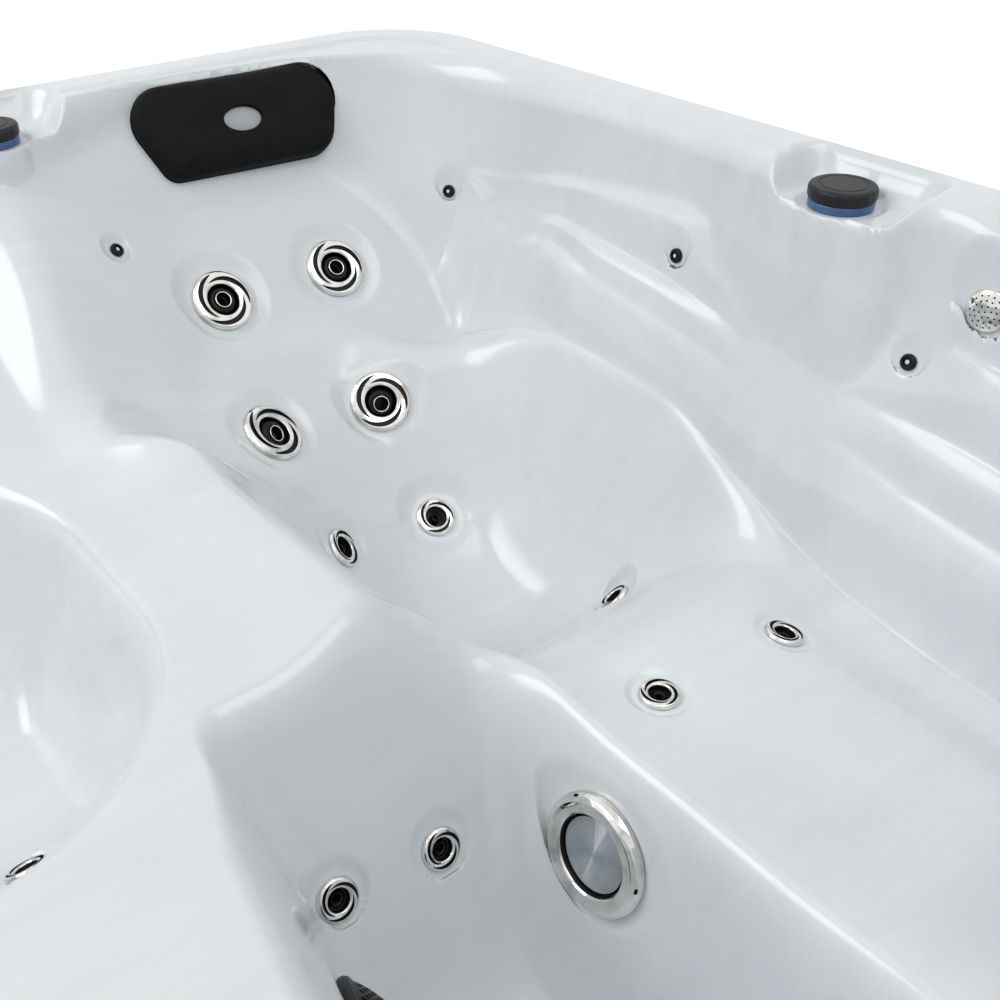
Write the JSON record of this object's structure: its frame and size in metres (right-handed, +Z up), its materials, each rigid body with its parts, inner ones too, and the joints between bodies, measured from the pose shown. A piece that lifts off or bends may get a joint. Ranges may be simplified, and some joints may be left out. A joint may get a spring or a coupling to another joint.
{
  "type": "hot tub",
  "caption": "Square acrylic hot tub with a lounger, two bucket seats, a foot well, swirl jets, diverter valves, headrests and a panelled cabinet.",
  "frame": {"origin": "middle of the base on the floor", "axes": "+Z up, +Y towards the headrests, +X towards the wall beside the lounger"},
  "size_m": [2.1, 2.1, 0.9248],
  "materials": {
    "acrylic": "gloss pearl white",
    "chrome": "polished",
    "black_plastic": "satin",
    "white_plastic": "satin",
    "pillow": "soft grained skin over closed-cell foam",
    "insert": "satin",
    "clear_blue": "translucent",
    "lens": "clear",
    "cabinet_board": "grooved boards",
    "cabinet_trim": "satin",
    "base": "moulded",
    "filter": "pleated",
    "steel": "brushed",
    "motor": "semi-gloss"
  },
  "bodies": {
    "tub": {"base_pan": "base", "cabinet_panel_back": "cabinet_board", "cabinet_panel_front": "cabinet_board", "cabinet_panel_left": "cabinet_board", "cabinet_panel_right": "cabinet_board", "cabinet_post_back_left": "cabinet_trim", "cabinet_post_back_right": "cabinet_trim", "cabinet_post_front_left": "cabinet_trim", "cabinet_post_front_right": "cabinet_trim", "control_box": "base", "discharge_pipe": "white_plastic", "drain_fitting": "black_plastic", "filter_housing": "white_plastic", "foot_well_support": "base", "heater": "steel", "lamp_pin_corner": "black_plastic", "lamp_pin_far": "black_plastic", "lamp_pin_middle": "black_plastic", "lamp_pin_near": "black_plastic", "light_bezel": "chrome", "light_lens": "lens", "neck_jet_cap": "chrome", "pillow_bucket": "pillow", "pillow_insert_bucket": "insert", "pillow_insert_lounger": "insert", "pillow_lounger": "pillow", "pump_motor": "motor", "pump_wet_end": "black_plastic", "return_manifold": "white_plastic", "shell": "acrylic", "suction_cover": "black_plastic", "suction_pipe": "white_plastic", "touch_panel": "black_plastic", "valve_ring_far": "clear_blue", "valve_ring_right": "clear_blue"},
    "jet_face_upper_right": {"jet_face_upper_right": "chrome"},
    "jet_face_upper_left": {"jet_face_upper_left": "chrome"},
    "jet_face_lower_right": {"jet_face_lower_right": "chrome"},
    "jet_face_lower_left": {"jet_face_lower_left": "chrome"},
    "jet_face_lumbar_right": {"jet_face_lumbar_right": "chrome"},
    "jet_face_lumbar_left": {"jet_face_lumbar_left": "chrome"},
    "jet_face_bucket_right": {"jet_face_bucket_right": "chrome"},
    "jet_face_bucket_left": {"jet_face_bucket_left": "chrome"},
    "jet_face_calf_right": {"jet_face_calf_right": "chrome"},
    "jet_face_calf_left": {"jet_face_calf_left": "chrome"},
    "jet_face_foot_right": {"jet_face_foot_right": "chrome"},
    "jet_face_foot_left": {"jet_face_foot_left": "chrome"},
    "jet_face_hip": {"jet_face_hip": "chrome"},
    "jet_face_bucket_thigh": {"jet_face_bucket_thigh": "chrome"},
    "jet_face_corner_seat": {"jet_face_corner_seat": "chrome"},
    "nozzle_upper_right": {"nozzle_upper_right": "black_plastic"},
    "nozzle_upper_left": {"nozzle_upper_left": "black_plastic"},
    "nozzle_lower_right": {"nozzle_lower_right": "black_plastic"},
    "nozzle_lower_left": {"nozzle_lower_left": "black_plastic"},
    "valve_cap_right": {"valve_cap_right": "black_plastic"},
    "valve_cap_far": {"valve_cap_far": "black_plastic"},
    "button_jets": {"button_jets": "white_plastic"},
    "button_light": {"button_light": "white_plastic"},
    "button_heat": {"button_heat": "white_plastic"},
    "filter_cartridge": {"filter_cartridge": "filter"}
  },
  "joints": [
    {"name": "turn_jet_upper_right", "type": "hinge", "parent": "tub", "child": "jet_face_upper_right", "pos_m": [0.66, 0.755, 0.60131], "axis": [-0.0611, -0.7587, 0.6485], "range_deg": [0, 90]},
    {"name": "turn_jet_upper_left", "type": "hinge", "parent": "tub", "child": "jet_face_upper_left", "pos_m": [0.44, 0.758, 0.60163], "axis": [0.0467, -0.7589, 0.6495], "range_deg": [0, 90]},
    {"name": "turn_jet_lower_right", "type": "hinge", "parent": "tub", "child": "jet_face_lower_right", "pos_m": [0.616, 0.57, 0.42925], "axis": [-0.2993, -0.7348, 0.6087], "range_deg": [0, 90]},
    {"name": "turn_jet_lower_left", "type": "hinge", "parent": "tub", "child": "jet_face_lower_left", "pos_m": [0.402, 0.562, 0.45033], "axis": [0.3153, -0.5477, 0.775], "range_deg": [0, 90]},
    {"name": "turn_jet_lumbar_right", "type": "hinge", "parent": "tub", "child": "jet_face_lumbar_right", "pos_m": [0.619, 0.425, 0.2635], "axis": [-0.1166, -0.6145, 0.7802], "range_deg": [0, 90]},
    {"name": "turn_jet_lumbar_left", "type": "hinge", "parent": "tub", "child": "jet_face_lumbar_left", "pos_m": [0.412, 0.392, 0.31264], "axis": [0.5843, -0.5804, 0.5673], "range_deg": [0, 90]},
    {"name": "turn_jet_bucket_right", "type": "hinge", "parent": "tub", "child": "jet_face_bucket_right", "pos_m": [-0.24, 0.44, 0.3866], "axis": [-0.0483, -0.6227, 0.7809], "range_deg": [0, 90]},
    {"name": "turn_jet_bucket_left", "type": "hinge", "parent": "tub", "child": "jet_face_bucket_left", "pos_m": [-0.49, 0.44, 0.3866], "axis": [0.0483, -0.6227, 0.7809], "range_deg": [0, 90]},
    {"name": "turn_jet_calf_right", "type": "hinge", "parent": "tub", "child": "jet_face_calf_right", "pos_m": [0.662, -0.269, 0.42841], "axis": [0.2293, -0.0672, 0.971], "range_deg": [0, 90]},
    {"name": "turn_jet_calf_left", "type": "hinge", "parent": "tub", "child": "jet_face_calf_left", "pos_m": [0.452, -0.25, 0.43428], "axis": [0.0125, -0.0219, 0.9997], "range_deg": [0, 90]},
    {"name": "turn_jet_foot_right", "type": "hinge", "parent": "tub", "child": "jet_face_foot_right", "pos_m": [0.173, -0.178, 0.30638], "axis": [0, -0.8898, 0.4563], "range_deg": [0, 90]},
    {"name": "turn_jet_foot_left", "type": "hinge", "parent": "tub", "child": "jet_face_foot_left", "pos_m": [0.035, -0.171, 0.32003], "axis": [0.0052, -0.8898, 0.4563], "range_deg": [0, 90]},
    {"name": "turn_jet_hip", "type": "hinge", "parent": "tub", "child": "jet_face_hip", "pos_m": [0.696, 0.064, 0.26881], "axis": [-0.3518, 0.5983, 0.7199], "range_deg": [0, 90]},
    {"name": "turn_jet_bucket_thigh", "type": "hinge", "parent": "tub", "child": "jet_face_bucket_thigh", "pos_m": [-0.215, 0.08, 0.3272], "axis": [-0.0613, 0.5617, 0.8251], "range_deg": [0, 90]},
    {"name": "turn_jet_corner_seat", "type": "hinge", "parent": "tub", "child": "jet_face_corner_seat", "pos_m": [-0.5, -0.77, 0.35992], "axis": [0, 0.8196, 0.573], "range_deg": [0, 90]},
    {"name": "aim_nozzle_upper_right", "type": "hinge", "parent": "jet_face_upper_right", "child": "nozzle_upper_right", "pos_m": [0.66073, 0.76411, 0.59352], "axis": [0.9968, -0.0803, 0], "range_deg": [-8, 8]},
    {"name": "aim_nozzle_upper_left", "type": "hinge", "parent": "jet_face_upper_left", "child": "nozzle_upper_left", "pos_m": [0.43944, 0.76711, 0.59383], "axis": [0.9981, 0.0615, 0], "range_deg": [-8, 8]},
    {"name": "aim_nozzle_lower_right", "type": "hinge", "parent": "jet_face_lower_right", "child": "nozzle_lower_right", "pos_m": [0.61959, 0.57882, 0.42194], "axis": [0.9261, -0.3772, 0], "range_deg": [-8, 8]},
    {"name": "aim_nozzle_lower_left", "type": "hinge", "parent": "jet_face_lower_left", "child": "nozzle_lower_left", "pos_m": [0.39822, 0.56857, 0.44103], "axis": [0.8667, 0.4989, 0], "range_deg": [-8, 8]},
    {"name": "turn_valve_right", "type": "hinge", "parent": "tub", "child": "valve_cap_right", "pos_m": [0.96, -0.048, 0.868], "axis": [0, 0, 1], "range_deg": [-90, 90]},
    {"name": "turn_valve_far", "type": "hinge", "parent": "tub", "child": "valve_cap_far", "pos_m": [0.185, 0.945, 0.868], "axis": [0, 0, 1], "range_deg": [-90, 90]},
    {"name": "press_jets", "type": "slide", "parent": "tub", "child": "button_jets", "axis": [0, -0.018, -0.9998], "range_m": [0, 0.0012], "stiffness_N_per_m": 300},
    {"name": "press_light", "type": "slide", "parent": "tub", "child": "button_light", "axis": [0, -0.018, -0.9998], "range_m": [0, 0.0012], "stiffness_N_per_m": 300},
    {"name": "press_heat", "type": "slide", "parent": "tub", "child": "button_heat", "axis": [0, -0.018, -0.9998], "range_m": [0, 0.0012], "stiffness_N_per_m": 300},
    {"name": "lift_filter", "type": "slide", "parent": "tub", "child": "filter_cartridge", "axis": [0, 0, 1], "range_m": [0, 0.35]}
  ]
}
